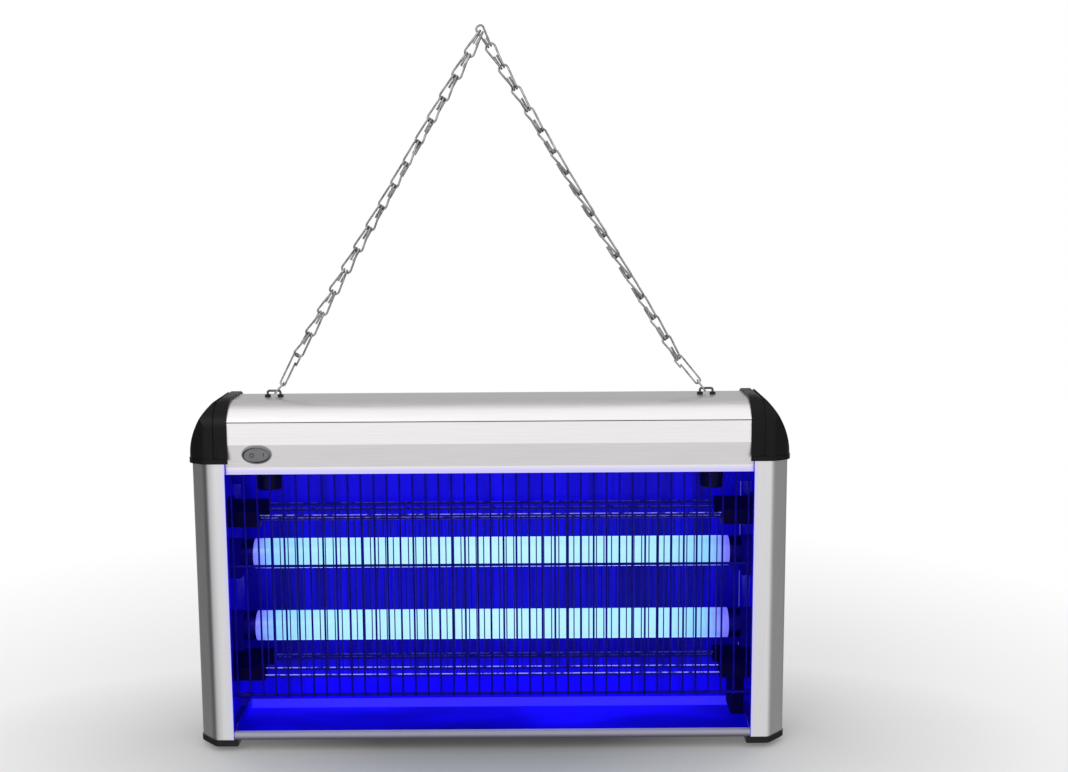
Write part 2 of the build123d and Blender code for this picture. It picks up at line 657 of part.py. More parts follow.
def twist(first, steps):
    """Roll of each link, in degrees, from the first one's roll and the turn to each next link."""
    rolls = [first]
    for step in steps:
        rolls.append(rolls[-1] + step)
    return rolls


def apex_link():
    """The link over the hanging point: the right run hangs from its fold, the left one on its left leg."""
    return chain_link(APEX_START, APEX_RIGHT, 180, APEX_BOW, APEX_TAIL)


def connecting_ring(side, hook_end):
    """Small ring that joins a snap hook to the staple bar."""
    bar = (side * RING_ON_BAR_X, BAR_Z)
    place, length = in_plane(bar, hook_end, 90)
    half = 3.0
    low = -2.7
    high = length + 2.1
    corners = [(half, 0, low), (half, 0, high), (-half, 0, high), (-half, 0, low)]
    return place * wire_form([(0.5, 0, low), *corners, (0.3, 0, low)], [2.2] * 4, HOOK_R)


# ---- fasteners ----

def screw(x, y, z, turn, radius=3.0):
    """Pan-head screw: domed head outside, short shank inside; turn points its head."""
    head = Pos(0, 0, 0.9) * Cylinder(radius, 1.8)
    head = fillet(head.edges().sort_by(Axis.Z)[-1], 0.9)
    slot = Pos(0, 0, 1.6) * (Box(0.8, radius * 1.3, 1.0) + Box(radius * 1.3, 0.8, 1.0))
    return Pos(x, y, z) * turn * (head - slot)


def cap_screws():
    """Two through the outer side of each end cap."""
    screws = []
    for _, side in SIDES:
        for y in (-14, 14):
            screws.append(screw(side * CAP_OUTER_X, y, CAP_SCREW_Z, Rot(0, side * 90, 0), 2.6))
    return group(screws)


def reflector_screws():
    """Four along the rear apron's lip, and two through the sheet's lower tabs."""
    outward = Rot(-90, 0, 0)
    top = [screw(x, LIP_Y, 242, outward, 2.4) for x in (-210, -70, 70, 210)]
    low = [screw(x, REFLECTOR_Y[1], TAB_HEIGHTS[0], outward, 2.4) for x in (-216, 216)]
    return group(top + low)


def main():
    os.makedirs("parts", exist_ok=True)
    save("top_cover", top_cover())
    save("front_apron", front_apron())
    save("rear_apron", rear_apron())
    save("chassis_plate", chassis_plate())
    save("cap_screws", cap_screws())
    save("rear_reflector", rear_reflector())
    save("reflector_screws", reflector_screws())
    save("front_guard", front_guard())
    save("collection_tray", collection_tray())
    for name, side in SIDES:
        save(f"end_cap_{name}", end_cap(side))
        save(f"post_{name}", post(side))
        save(f"foot_{name}", foot(side))
        save(f"end_plate_{name}", end_plate(side))
        save(f"starter_{name}", starter(side))
        save(f"starter_socket_{name}", starter_socket(side))
        save(f"insulator_upper_{name}", insulator(side, UPPER_ARMS_Z, False))
        save(f"insulator_lower_{name}", insulator(side, LOWER_ARMS_Z, side > 0))
        save(f"hanging_staple_{name}", hanging_staple(side))
        for level, z in zip(("upper", "lower"), TUBE_Z):
            save(f"lamp_holder_{level}_{name}", lamp_holder(side, z))
    for level, z in zip(("upper", "lower"), TUBE_Z):
        save(f"tube_glass_{level}", tube_glass(z))
        save(f"tube_caps_{level}", group([tube_cap(side, z) for _, side in SIDES]))
        save(f"holder_rotors_{level}", group([holder_rotor(side, z) for _, side in SIDES]))
    for place, y in (("front", -GRID_Y), ("rear", GRID_Y)):
        save(f"grid_{place}_live", grid_comb(y, True))
        save(f"grid_{place}_return", grid_comb(y, False))
    save("ballast_left", ballast(-165))
    save("ballast_right", ballast(72))
    save("transformer_core", transformer_core())
    save("transformer_coil", transformer_coil())
    save("terminal_block", terminal_block())
    save("cord_inlet_grommet", cord_inlet_grommet())
    save("switch_bezel", switch_bezel())
    save("switch_rocker", switch_rocker())
    save("switch_body", switch_body())
    save("staple_bushes", staple_feet(2.6, TOP_Z, TOP_Z + 1.8))
    save("staple_nuts", staple_feet(3.4, TOP_Z - WALL - 3.0, TOP_Z - WALL))
    save("connecting_ring_left", connecting_ring(-1, HOOK_LEFT[0]))
    save("connecting_ring_right", connecting_ring(1, HOOK_RIGHT[0]))
    save("snap_hook_left", snap_hook(HOOK_LEFT, -30, 1, 2.0))
    save("snap_hook_right", snap_hook(HOOK_RIGHT, 20, -1, 0.3))
    left_rolls = twist(30, [-9] * 5 + [-5] * 4 + [7] * 5)
    right_rolls = twist(-20, [-9] * 4 + [0] * 3 + [8] * 7)
    save("chain_left", chain_run(HOOK_LEFT[1], APEX_LEFT, left_rolls, True))
    save("chain_right", chain_run(HOOK_RIGHT[1], APEX_RIGHT, right_rolls, False))
    save("apex_link", apex_link())


main()
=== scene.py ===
import json
import math

import bmesh
import bpy
from mathutils import Matrix, Vector

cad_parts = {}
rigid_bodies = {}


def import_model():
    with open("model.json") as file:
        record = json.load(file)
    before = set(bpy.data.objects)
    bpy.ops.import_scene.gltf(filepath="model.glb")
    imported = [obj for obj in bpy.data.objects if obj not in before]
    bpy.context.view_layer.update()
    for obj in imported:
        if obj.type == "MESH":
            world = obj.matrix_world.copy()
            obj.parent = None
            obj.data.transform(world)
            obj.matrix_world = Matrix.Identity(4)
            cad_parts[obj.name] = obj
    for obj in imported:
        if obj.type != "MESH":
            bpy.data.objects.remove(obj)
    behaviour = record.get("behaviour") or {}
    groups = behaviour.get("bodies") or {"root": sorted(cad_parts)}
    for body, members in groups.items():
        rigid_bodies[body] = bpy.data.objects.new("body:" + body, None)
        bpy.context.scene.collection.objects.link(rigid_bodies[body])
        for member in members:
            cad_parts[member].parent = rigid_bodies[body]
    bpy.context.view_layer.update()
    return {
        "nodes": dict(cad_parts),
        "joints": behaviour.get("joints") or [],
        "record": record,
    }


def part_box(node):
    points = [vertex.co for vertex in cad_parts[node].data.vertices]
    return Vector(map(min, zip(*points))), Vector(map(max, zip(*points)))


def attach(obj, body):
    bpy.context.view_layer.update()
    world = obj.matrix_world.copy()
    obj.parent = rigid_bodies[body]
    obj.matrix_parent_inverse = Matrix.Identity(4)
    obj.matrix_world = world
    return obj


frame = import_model()
NODES = frame["nodes"]


# ---- places, worked out from the frame ----

def middle(node):
    low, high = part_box(node)
    return (low + high) / 2


FEET_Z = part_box("foot_left")[0].z
CENTRE = middle("top_cover")
POST_LOW, POST_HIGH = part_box("post_left")
POST_REACH = CENTRE.x - POST_LOW.x          # from the middle to a post's outer face
OPENING_HALF = CENTRE.x - POST_HIGH.x       # from the middle to a post's inner face
REFLECTOR_LOW, REFLECTOR_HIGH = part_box("rear_reflector")
ROCKER = next(joint for joint in frame["joints"] if joint["name"] == "switch_rocker_tilt")
ROCKER_PIVOT = Vector(ROCKER["pos_m"])
ROCKER_UP = -Vector(ROCKER["axis"]).normalized()        # up the sloping apron that holds the switch


# ---- colours ----

def srgb(r, g, b):
    """Linear colour, with alpha, from 0-255 display values."""
    def linear(v):
        v /= 255
        return v / 12.92 if v <= 0.04045 else ((v + 0.055) / 1.055) ** 2.4
    return (linear(r), linear(g), linear(b), 1.0)


def scaled(colour, share, lift=0.0):
    """A colour made darker or lighter, with a little of every channel added."""
    return tuple(min(1.0, c * share + lift) for c in colour[:3]) + (1.0,)


def greys(*stops):
    """Stops for a ramp, from pairs of a position and a linear grey level."""
    return [(place, (level, level, level, 1.0)) for place, level in stops]


BLACK = srgb(0, 0, 0)
WHITE = srgb(255, 255, 255)


# ---- node steps ----

class Steps:
    """Small steps of a node tree. Each takes and gives sockets."""

    def __init__(self, tree):
        self.tree = tree

    def node(self, kind, **inputs):
        made = self.tree.nodes.new(kind)
        for name, value in inputs.items():
            made.inputs[name.replace("_", " ")].default_value = value
        return made

    def link(self, source, target):
        self.tree.links.new(source, target)

    def maths(self, kind, first, second=0.0):
        """One maths step on a value, with another value or a number."""
        made = self.node("ShaderNodeMath")
        made.operation = kind
        self.link(first, made.inputs[0])
        if isinstance(second, float):
            made.inputs[1].default_value = second
        else:
            self.link(second, made.inputs[1])
        return made.outputs["Value"]

    def component(self, vector, axis):
        """One of a vector's X, Y and Z."""
        split = self.node("ShaderNodeSeparateXYZ")
        self.link(vector, split.inputs["Vector"])
        return split.outputs[axis]

    def window(self, value, start, end, low=0.0, high=1.0):
        """Maps start-end of a value to low-high, and holds it there beyond."""
        made = self.node("ShaderNodeMapRange", From_Min=start, From_Max=end, To_Min=low, To_Max=high)
        self.link(value, made.inputs["Value"])
        return made.outputs["Result"]

    def within(self, share, value, start, end):
        """A share, cut down to nothing where a value is before start, and whole past end."""
        return self.maths("MULTIPLY", share, self.window(value, start, end))

    def ramp(self, factor, stops):
        """Colour ramp; stops are (position, colour)."""
        made = self.node("ShaderNodeValToRGB")
        points = made.color_ramp.elements
        while len(points) < len(stops):
            points.new(0.5)
        for point, (place, colour) in zip(points, stops):
            point.position = place
            point.color = colour
        self.link(factor, made.inputs["Fac"])
        return made.outputs["Color"]

    def mottle(self, factor, dark, light):
        """Colour that follows a noise between two colours."""
        return self.ramp(factor, [(0.3, dark), (0.7, light)])

    def blend(self, factor, first, second):
        """Colour between two others, each a colour or a socket."""
        made = self.node("ShaderNodeMix")
        made.data_type = "RGBA"
        self.link(factor, made.inputs[0])
        for slot, colour in ((6, first), (7, second)):      # the colour inputs A and B
            if isinstance(colour, tuple):
                made.inputs[slot].default_value = colour
            else:
                self.link(colour, made.inputs[slot])
        return made.outputs[2]


class Finish(Steps):
    """A node material around one Principled shader, in the object's own metres."""

    def __init__(self, name, colour, roughness, metallic=0.0, **sockets):
        self.material = bpy.data.materials.new(name)
        self.material.use_nodes = True
        super().__init__(self.material.node_tree)
        self.shader = self.tree.nodes["Principled BSDF"]
        self.set("Base Color", colour)
        self.set("Roughness", roughness)
        self.set("Metallic", metallic)
        for socket, value in sockets.items():
            self.set(socket.replace("_", " "), value)
        place = self.node("ShaderNodeTexCoord")
        self.coords = place.outputs["Object"]
        self.facing = place.outputs["Normal"]
        self.relief = None

    def set(self, socket, value):
        self.shader.inputs[socket].default_value = value

    def stretched(self, stretch):
        """The place on the object, with each axis multiplied."""
        mapping = self.node("ShaderNodeMapping", Scale=stretch)
        self.link(self.coords, mapping.inputs["Vector"])
        return mapping.outputs["Vector"]

    def noise(self, scale, stretch=(1, 1, 1), detail=3.0, rough=0.5):
        """Noise over the object; stretch is how many times finer it is along each axis."""
        made = self.node("ShaderNodeTexNoise", Scale=scale, Detail=detail, Roughness=rough)
        self.link(self.stretched(stretch), made.inputs["Vector"])
        return made.outputs["Fac"]

    def along(self, axis):
        """The place on the object along one axis."""
        return self.component(self.coords, axis)

    def distance(self, axis, plane=0.0):
        """How far the place is from a plane across one axis, on either side of it."""
        return self.maths("ABSOLUTE", self.maths("SUBTRACT", self.along(axis), plane))

    def off_centre(self):
        """Distance from the upright middle plane."""
        return self.distance("X", CENTRE.x)

    def in_front(self, share):
        """A share, on the front half only; it sets in over 2 mm."""
        return self.within(share, self.along("Y"), 0.0, -0.002)

    def paint(self, colour, socket="Base Color"):
        self.link(colour, self.shader.inputs[socket])

    def light(self, colour, strength=1.0):
        """Glow, in a colour that varies over the object."""
        self.paint(colour, "Emission Color")
        self.set("Emission Strength", strength)

    def light_where(self, share, plain, lit, glow=None, strength=1.0):
        """Plain colour where share is 0; painted colour and glow of the tubes' light where it is 1."""
        self.paint(self.blend(share, plain, lit))
        self.light(self.blend(share, BLACK, lit if glow is None else glow), strength)

    def vary_roughness(self, factor, low, high):
        """Roughness that follows a noise between two values."""
        self.paint(self.window(factor, 0.3, 0.7, low, high), "Roughness")

    def bump(self, factor, strength, distance):
        """Relief, on top of any that is there already."""
        made = self.node("ShaderNodeBump", Strength=strength, Distance=distance)
        self.link(factor, made.inputs["Height"])
        if self.relief is not None:
            self.link(self.relief, made.inputs["Normal"])
        self.relief = made.outputs["Normal"]
        self.paint(self.relief, "Normal")


# ---- materials ----

def aluminium(name, shade, stretch):
    """Satin anodised extrusion, with fine drawing lines along its length; gives the finish and its colour."""
    finish = Finish(name, srgb(*shade), 0.33, 1.0)
    lines = finish.noise(26, stretch, 4.0, 0.6)
    finish.vary_roughness(lines, 0.29, 0.40)
    finish.bump(lines, 0.05, 0.0002)
    finish.bump(finish.noise(9, detail=2.0), 0.03, 0.001)
    return finish, finish.mottle(lines, scaled(srgb(*shade), 0.92), srgb(*shade))


def cover_aluminium():
    """Cover and aprons: painted shade in the seam under the cover, and painted lavender tube light, in colour
    and glow, on the front lip.
    """
    lip_top, lip = REFLECTOR_HIGH.z + 0.0006, 0.004
    seam, seam_half, seam_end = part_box("top_cover")[0].z - 0.0004, 0.0003, 0.00042
    finish, shade = aluminium("cover_aluminium", (243, 240, 241), (1, 60, 60))
    # painted tube light: lavender colour and glow on the front lip of the aprons
    painted_tube_light = finish.in_front(finish.window(finish.along("Z"), lip_top, lip_top - lip))
    # painted shade: the seam between the cover and the aprons is darkened, where its gap lies in shadow
    seam_shade = finish.window(finish.distance("Z", seam), seam_end, seam_half)
    shade = finish.blend(seam_shade, shade, srgb(70, 68, 70))
    finish.light_where(painted_tube_light, shade, srgb(208, 204, 246), srgb(30, 26, 84))
    return finish.material


def post_aluminium():
    """Posts: painted lavender tube light on their inner front edges, painted blue tube light inside their
    walls, and painted shade on the left post's front corner.
    """
    edge_width = 0.005
    bevel_x, bevel_y = 0.015, 0.016         # the slanted corner, across and in depth
    side_wall, front_wall, fade = 0.0010, 0.0012, 0.0006
    corner_shade_start, corner_shade_end = 0.0235, 0.0145   # the band of painted shade, from the left post's outer face
    post_depth = -POST_LOW.y
    finish, shade = aluminium("post_aluminium", (222, 221, 223), (60, 60, 1))
    off, depth = finish.off_centre(), finish.distance("Y")

    # painted tube light: lavender colour and glow along the posts' inner front edges
    edge = finish.maths("POWER", finish.window(off, OPENING_HALF + edge_width, OPENING_HALF), 2.2)
    edge = finish.in_front(edge)

    # painted blue tube light, colour and glow, on the inner faces of the posts' walls
    corner = finish.maths("ADD", finish.window(off, POST_REACH - bevel_x, POST_REACH),
                          finish.window(depth, post_depth - bevel_y, post_depth))
    inside = finish.window(corner, 0.90, 0.86)      # the two shares add up to 1 on the slanted wall
    for value, face in ((depth, post_depth - front_wall), (off, POST_REACH - side_wall)):
        inside = finish.within(inside, value, face, face - fade)

    # painted shade: the left post's front face darkens towards its outer corner
    turn = finish.window(finish.along("X"), POST_LOW.x + corner_shade_start, POST_LOW.x + corner_shade_end)
    turn = finish.within(finish.maths("POWER", turn, 1.5), finish.along("Y"),
                         POST_LOW.y + 0.005, POST_LOW.y + 0.001)

    shade = finish.blend(turn, shade, srgb(150, 149, 151))
    shade = finish.blend(edge, shade, srgb(208, 205, 246))
    finish.paint(finish.blend(inside, shade, srgb(10, 4, 140)))
    painted_tube_light = finish.blend(edge, BLACK, srgb(26, 21, 92))
    finish.light(finish.blend(inside, painted_tube_light, srgb(5, 0, 134)))
    return finish.material


def spark_eroded(finish, low, high):
    """The fine texture and slightly uneven gloss of moulded plastic."""
    finish.vary_roughness(finish.noise(90, detail=5.0), low, high)
    finish.bump(finish.noise(1800, detail=2.0), 0.12, 0.00015)


def moulded(name, shade, roughness, gloss=0.5, lit=None):
    """Moulded plastic; lit is the painted glow of the tubes' light on it."""
    finish = Finish(name, srgb(*shade), roughness, Specular_IOR_Level=gloss)
    specks = finish.noise(35, detail=4.0)
    finish.paint(finish.mottle(specks, srgb(*shade), scaled(srgb(*shade), 1.25, 0.0008)))
    if lit:
        finish.light(finish.mottle(finish.noise(30), scaled(srgb(*lit), 0.5), srgb(*lit)))
    spark_eroded(finish, roughness - 0.05, roughness + 0.08)
    return finish.material


def foot_plastic():
    """Feet: black, with painted blue tube light on top, between the posts' walls."""
    top = POST_LOW.z
    reach, depth = OPENING_HALF + 0.012, 0.041      # as far as the light gets under a post
    finish = Finish("foot_plastic", srgb(15, 15, 16), 0.42, Specular_IOR_Level=0.22)
    # painted tube light: blue colour and glow on the feet's tops under the opening
    inside = finish.window(finish.along("Z"), top - 0.0003, top - 0.0001)
    for value, limit in ((finish.off_centre(), reach), (finish.distance("Y"), depth)):
        inside = finish.within(inside, value, limit, limit - 0.0005)
    specks = finish.noise(35, detail=4.0)
    finish.light_where(inside, finish.mottle(specks, srgb(15, 15, 16), srgb(18, 18, 19)),
                       finish.mottle(specks, srgb(3, 0, 74), srgb(5, 1, 96)))
    spark_eroded(finish, 0.37, 0.5)
    return finish.material


def plated(name, shade, low, high, stretch=(1, 1, 1), dull=0.68):
    """Plated or drawn metal, with a mottled gloss and fine scratches; dull is how dark its patches are."""
    finish = Finish(name, srgb(*shade), (low + high) / 2, 1.0)
    patches = finish.noise(140, stretch, 5.0, 0.65)
    finish.paint(finish.mottle(patches, scaled(srgb(*shade), dull), srgb(*shade)))
    finish.vary_roughness(finish.noise(320, stretch, 4.0), low, high)
    finish.bump(finish.noise(900, stretch, 3.0), 0.10, 0.0001)
    return finish.material


def reflector_sheet():
    """Bright sheet behind the tubes: painted blue tube light in upright streaks of painted shade, with
    painted shade towards both ends; plain behind.
    """
    dark, light = srgb(4, 0, 116), srgb(14, 0, 236)
    back = REFLECTOR_HIGH.y - 0.0002
    finish = Finish("reflector_sheet", srgb(10, 4, 215), 0.45, Specular_IOR_Level=0.12)
    height = finish.along("Z")
    # painted blue tube light with upright streaks of painted shade, darker at both ends, lighter at the very
    # bottom and towards the top
    painted_streaks = finish.noise(34, (1.8, 1, 0.1), 3.0, 0.65)
    for change in (
            finish.window(finish.off_centre(), OPENING_HALF * 0.5, OPENING_HALF, 0.06, -0.12),
            finish.window(height, REFLECTOR_LOW.z + 0.042, REFLECTOR_LOW.z + 0.012, 0.0, 0.3),
            finish.window(height, REFLECTOR_LOW.z + 0.06, REFLECTOR_HIGH.z, -0.14, 0.06)):
        painted_streaks = finish.maths("ADD", painted_streaks, change)
    front = finish.window(finish.along("Y"), back, back - 0.0002)
    lit = finish.mottle(painted_streaks, scaled(dark, 1.1), light)
    glow = finish.ramp(painted_streaks, [(0.25, dark), (0.5, scaled(light, 0.72)), (0.75, light)])
    finish.light_where(front, srgb(188, 189, 194), lit, glow, 0.5)
    finish.vary_roughness(finish.noise(60, (1, 30, 1)), 0.35, 0.5)
    finish.bump(finish.noise(20, (1, 1, 8)), 0.08, 0.0006)
    return finish.material


def tray_sheet():
    """Tray: painted blue tube light inside, brightest on the back wall, with a grey-violet front strip that
    has painted shade towards its lower edge.
    """
    low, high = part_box("collection_tray")
    front_rim = 0.0046
    skin, skin_end = 0.0001, 0.00015        # the thickness of the plain outer faces' paint
    finish = Finish("tray_sheet", srgb(140, 134, 160), 0.42, Specular_IOR_Level=0.15)
    wash = finish.noise(8, (1, 2, 1), 2.0)
    depth, off, height = finish.along("Y"), finish.off_centre(), finish.along("Z")

    # where the inside faces get the painted tube light; the plain outer faces keep the strip's colour
    inside = finish.window(depth, low.y + front_rim, low.y + front_rim + 0.0004)
    for value, face, way in ((depth, high.y, -1), (off, high.x - CENTRE.x, -1), (height, low.z, 1)):
        inside = finish.within(inside, value, face + way * skin, face + way * skin_end)

    # painted shade: the front strip darkens towards its lower edge
    strip = finish.ramp(finish.window(height, low.z, low.z + 0.006),
                        [(0.0, srgb(64, 60, 72)), (0.25, srgb(104, 100, 114)), (0.6, srgb(168, 166, 182))])
    # painted blue tube light, brighter towards the back, with painted shade at the ends
    reach = finish.maths("ADD", finish.window(depth, low.y, high.y, -0.12, 0.22), wash)
    ends = finish.window(off, OPENING_HALF * 0.8, OPENING_HALF, 0.0, -0.06)
    lit = finish.ramp(finish.maths("ADD", reach, ends),
                      [(0.2, srgb(4, 0, 96)), (0.5, srgb(6, 0, 176)), (0.75, srgb(20, 6, 230))])
    # painted highlight: a brighter band of tube light on the back wall
    back_wall = finish.window(depth, high.y - 0.0030, high.y - 0.0012)
    lit = finish.blend(back_wall, lit, srgb(58, 46, 240))
    finish.light_where(inside, strip, lit, strength=0.5)
    finish.vary_roughness(finish.noise(70, (1, 30, 30)), 0.34, 0.46)
    finish.bump(finish.noise(30, (1, 4, 4), 3.0), 0.08, 0.0004)
    return finish.material


def lamp_glass():
    """Phosphor-coated tube, alight: pale cyan along its middle and violet-blue at both ends."""
    low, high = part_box("tube_glass_upper")
    finish = Finish("lamp_glass", srgb(40, 70, 110), 0.16)
    share = finish.window(finish.off_centre(), 0.0, (high.x - low.x) / 2)
    share = finish.maths("ADD", share, finish.window(finish.noise(22, detail=2.0), 0.3, 0.7, -0.02, 0.02))
    finish.light(finish.ramp(share, [(0.0, srgb(186, 240, 255)), (0.7, srgb(170, 232, 255)),
                                     (0.9, srgb(138, 206, 255)), (0.955, srgb(122, 150, 255)),
                                     (0.99, srgb(112, 104, 252))]))
    finish.vary_roughness(finish.noise(40), 0.12, 0.22)
    return finish.material


def grid_wire():
    """Drawn wires, painted dark navy with a painted glow of the tubes' light, on rails with painted violet
    highlights and glints along their upper crests.
    """
    low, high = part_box("grid_front_return")
    rail_start = (high.z - low.z) / 2 - 0.0032      # from the grid's middle height to its rails
    finish = Finish("grid_wire", srgb(20, 16, 110), 0.4, 0.4, Specular_IOR_Level=0.2)
    rail = finish.window(finish.distance("Z", (low.z + high.z) / 2), rail_start, rail_start + 0.0002)
    # painted highlight: the rails' upper crests, stronger towards the front
    painted_highlight = finish.within(rail, finish.component(finish.facing, "Z"), 0.55, 0.85)
    painted_highlight = finish.maths("MULTIPLY", painted_highlight, finish.window(finish.along("Y"), 0.0, low.y, 0.15, 1.0))
    specks = finish.noise(150, detail=5.0, rough=0.65)
    # painted tube light: the wires' dark navy colour and glow
    wires = finish.mottle(specks, srgb(6, 3, 64), srgb(14, 8, 104))
    rails = finish.ramp(specks, [(0.42, srgb(30, 24, 130)), (0.52, srgb(150, 146, 250))])
    finish.paint(finish.blend(painted_highlight, wires, rails))
    glints = finish.ramp(specks, [(0.42, srgb(10, 4, 120)), (0.52, srgb(120, 116, 240))])
    finish.light(finish.blend(painted_highlight, srgb(2, 0, 78), glints))
    finish.vary_roughness(finish.noise(320), 0.3, 0.5)
    finish.bump(finish.noise(900), 0.1, 0.0001)
    return finish.material


def guard_wire():
    """Coated guard wires, with painted navy colour and glow of the tubes' light."""
    finish = Finish("guard_wire", srgb(10, 8, 60), 0.42, Specular_IOR_Level=0.06)
    specks = finish.noise(120, detail=5.0)
    finish.paint(finish.mottle(specks, srgb(3, 1, 56), srgb(6, 3, 90)))
    finish.light(finish.mottle(specks, srgb(1, 0, 66), srgb(4, 0, 108)))
    finish.vary_roughness(finish.noise(260, detail=4.0), 0.34, 0.52)
    finish.bump(finish.noise(700), 0.14, 0.00012)
    return finish.material


def inner_steel():
    """Zinc-plated end plates: painted blue tube light at the opening's height, and plain steel above it."""
    finish = Finish("inner_steel", srgb(20, 16, 120), 0.5, Specular_IOR_Level=0.0)
    # painted tube light: blue colour and glow up to the opening's top
    inside = finish.window(finish.along("Z"), REFLECTOR_HIGH.z + 0.004, REFLECTOR_HIGH.z)
    specks = finish.noise(140, detail=5.0)
    finish.light_where(inside, finish.mottle(specks, srgb(120, 122, 128), srgb(180, 182, 188)),
                       finish.mottle(specks, srgb(5, 2, 70), srgb(10, 3, 110)), glow=srgb(7, 1, 160))
    finish.vary_roughness(finish.noise(320), 0.45, 0.6)
    finish.bump(finish.noise(900), 0.1, 0.0001)
    return finish.material


def switch_frame():
    """Oval bezel: grey rim, near black inside its hole, where the rocker's edge stands in shadow."""
    hole_x, hole_up = 0.01155, 0.00705      # half sizes, just past the edge of the hole
    rim_out = 0.0023                        # from the rocker's pivot out to the rim
    hole_z = ROCKER_PIVOT.z + rim_out * ROCKER_UP.y
    finish = Finish("switch_frame", srgb(112, 112, 114), 0.34)
    across = finish.maths("DIVIDE", finish.distance("X", ROCKER_PIVOT.x), hole_x)
    rise = finish.maths("DIVIDE", finish.distance("Z", hole_z), hole_up * ROCKER_UP.z)
    oval = finish.maths("ADD", finish.maths("POWER", across, 2.0), finish.maths("POWER", rise, 2.0))
    grain = finish.mottle(finish.noise(35, detail=4.0), srgb(112, 112, 114), srgb(124, 124, 126))
    finish.paint(finish.blend(finish.window(oval, 0.97, 1.03), srgb(34, 34, 35), grain))
    spark_eroded(finish, 0.3, 0.42)
    return finish.material


def seal_rubber():
    """Strip behind the tray: painted blue tube light in front, black behind."""
    finish = Finish("seal_rubber", srgb(14, 14, 15), 0.6, Specular_IOR_Level=0.1)
    front = finish.window(finish.along("Y"), REFLECTOR_HIGH.y - 0.0008, REFLECTOR_HIGH.y - 0.0012)
    specks = finish.noise(90, detail=4.0)
    finish.light_where(front, finish.mottle(specks, srgb(12, 12, 13), srgb(20, 20, 21)),
                       finish.mottle(specks, srgb(5, 1, 96), srgb(10, 2, 130)))
    finish.vary_roughness(specks, 0.5, 0.7)
    finish.bump(finish.noise(1500, detail=2.0), 0.1, 0.0001)
    return finish.material


MOULDED = {
    "cap_plastic": dict(shade=(9, 9, 10), roughness=0.32, gloss=0.14),
    # the next four are painted dark blue with a painted glow, as they look in the tubes' light
    "insulator_plastic": dict(shade=(3, 1, 18), roughness=0.5, gloss=0.02, lit=(1, 0, 42)),
    "holder_plastic": dict(shade=(6, 2, 60), roughness=0.5, gloss=0.03, lit=(3, 0, 100)),
    "rotor_plastic": dict(shade=(16, 8, 110), roughness=0.5, gloss=0.05, lit=(5, 0, 132)),
    "starter_plastic": dict(shade=(3, 2, 20), roughness=0.4, gloss=0.08, lit=(0, 0, 34)),
    "socket_plastic": dict(shade=(210, 210, 205), roughness=0.4),
    "terminal_plastic": dict(shade=(222, 216, 198), roughness=0.4),
    "switch_key": dict(shade=(104, 104, 106), roughness=0.3),
    "switch_mark": dict(shade=(28, 28, 29), roughness=0.4, gloss=0.3),
    "bush_rubber": dict(shade=(12, 12, 13), roughness=0.6, gloss=0.3),
    "grommet_rubber": dict(shade=(18, 18, 20), roughness=0.6, gloss=0.3),
}
PLATED = {
    "chassis_steel": dict(shade=(180, 182, 188), low=0.3, high=0.5),
    # painted blue: the tubes' metal caps as they look in the tubes' light
    "lamp_cap": dict(shade=(20, 14, 120), low=0.3, high=0.45),
    # its strong dark patches are painted shade and reflection, at random places along the wire
    "chain_wire": dict(shade=(186, 186, 188), low=0.08, high=0.2, dull=0.28),
    "staple_wire": dict(shade=(92, 92, 94), low=0.3, high=0.5),
    "core_steel": dict(shade=(60, 60, 64), low=0.4, high=0.6),
    "coil_copper": dict(shade=(190, 110, 70), low=0.3, high=0.45, stretch=(1, 1, 40)),
    "ballast_steel": dict(shade=(205, 205, 204), low=0.35, high=0.5),
    "screw_steel": dict(shade=(150, 150, 152), low=0.25, high=0.4),
}
OWN = (cover_aluminium, post_aluminium, reflector_sheet, tray_sheet, foot_plastic, lamp_glass,
       grid_wire, guard_wire, inner_steel, switch_frame, seal_rubber)

FINISHES = {name: moulded(name, **look) for name, look in MOULDED.items()}
FINISHES.update((name, plated(name, **look)) for name, look in PLATED.items())
FINISHES.update((make.__name__, make()) for make in OWN)


def dress(obj, finish):
    obj.data.materials.clear()
    obj.data.materials.append(FINISHES[finish])


for part in frame["record"]["subparts"]:
    name = part["node"]
    dress(NODES[name], "inner_steel" if name.startswith("end_plate") else part["material_slot"])


# ---- pieces made here ----

def piece(name, mesh, finish, body):
    """A new object from a bmesh, which rides on a CAD body."""
    data = bpy.data.meshes.new(name)
    mesh.to_mesh(data)
    mesh.free()
    for face in data.polygons:
        face.use_smooth = True
    obj = bpy.data.objects.new(name, data)
    bpy.context.scene.collection.objects.link(obj)
    dress(obj, finish)
    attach(obj, body)


def rounded_block(size, rounding, place):
    """A box with rounded edges, at the place that a matrix gives."""
    block = bmesh.new()
    bmesh.ops.create_cube(block, size=1.0, matrix=Matrix.Diagonal((*size, 1.0)))
    bmesh.ops.bevel(block, geom=block.edges[:], offset=rounding, segments=2, affect="EDGES")
    block.transform(place)
    return block


def oval_ring(radius, tall, thick, place):
    """A round-wired ring, tall times as high as it is wide, thick being half its wire."""
    ring = bmesh.new()
    steps, section = 32, 8
    loops = []
    for i in range(steps):
        angle = 2 * math.pi * i / steps
        loop = []
        for k in range(section):
            turn = 2 * math.pi * k / section
            reach = radius + thick * math.cos(turn)
            spot = (reach * math.cos(angle), tall * reach * math.sin(angle), thick * math.sin(turn))
            loop.append(ring.verts.new(spot))
        loops.append(loop)
    for i in range(steps):
        a, b = loops[i], loops[(i + 1) % steps]
        for k in range(section):
            after = (k + 1) % section
            ring.faces.new((a[k], b[k], b[after], a[after]))
    ring.transform(place)
    return ring


